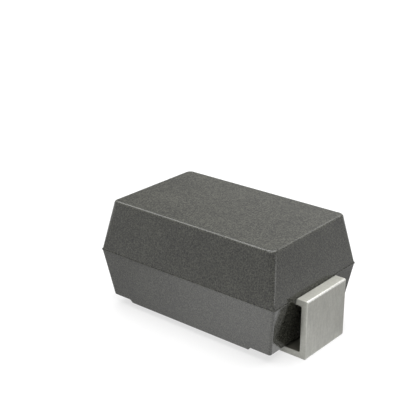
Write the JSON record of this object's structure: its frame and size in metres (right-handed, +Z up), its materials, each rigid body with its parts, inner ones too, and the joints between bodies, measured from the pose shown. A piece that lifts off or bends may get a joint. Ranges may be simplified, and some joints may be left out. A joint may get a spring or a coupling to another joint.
{
  "type": "surface-mount diode",
  "caption": "Small moulded surface-mount diode with two flat leads folded under its body and a soldered chip inside.",
  "frame": {"origin": "on the seating plane, under the middle of the body", "axes": "+X along the body from the cathode's end to the anode's end, +Y across it, +Z up from the board"},
  "size_m": [0.0048, 0.0028, 0.0023],
  "materials": {
    "mould_compound": "satin dark grey filled epoxy, as moulded",
    "tinned_lead": "matte tin plating over copper alloy strip",
    "silicon": "polished silicon with a metallised contact on both faces",
    "solder": "dull solder"
  },
  "bodies": {
    "root": {"moulded_body": "mould_compound", "cathode_lead": "tinned_lead", "anode_lead": "tinned_lead", "diode_chip": "silicon", "lower_solder": "solder", "upper_solder": "solder"}
  },
  "joints": []
}
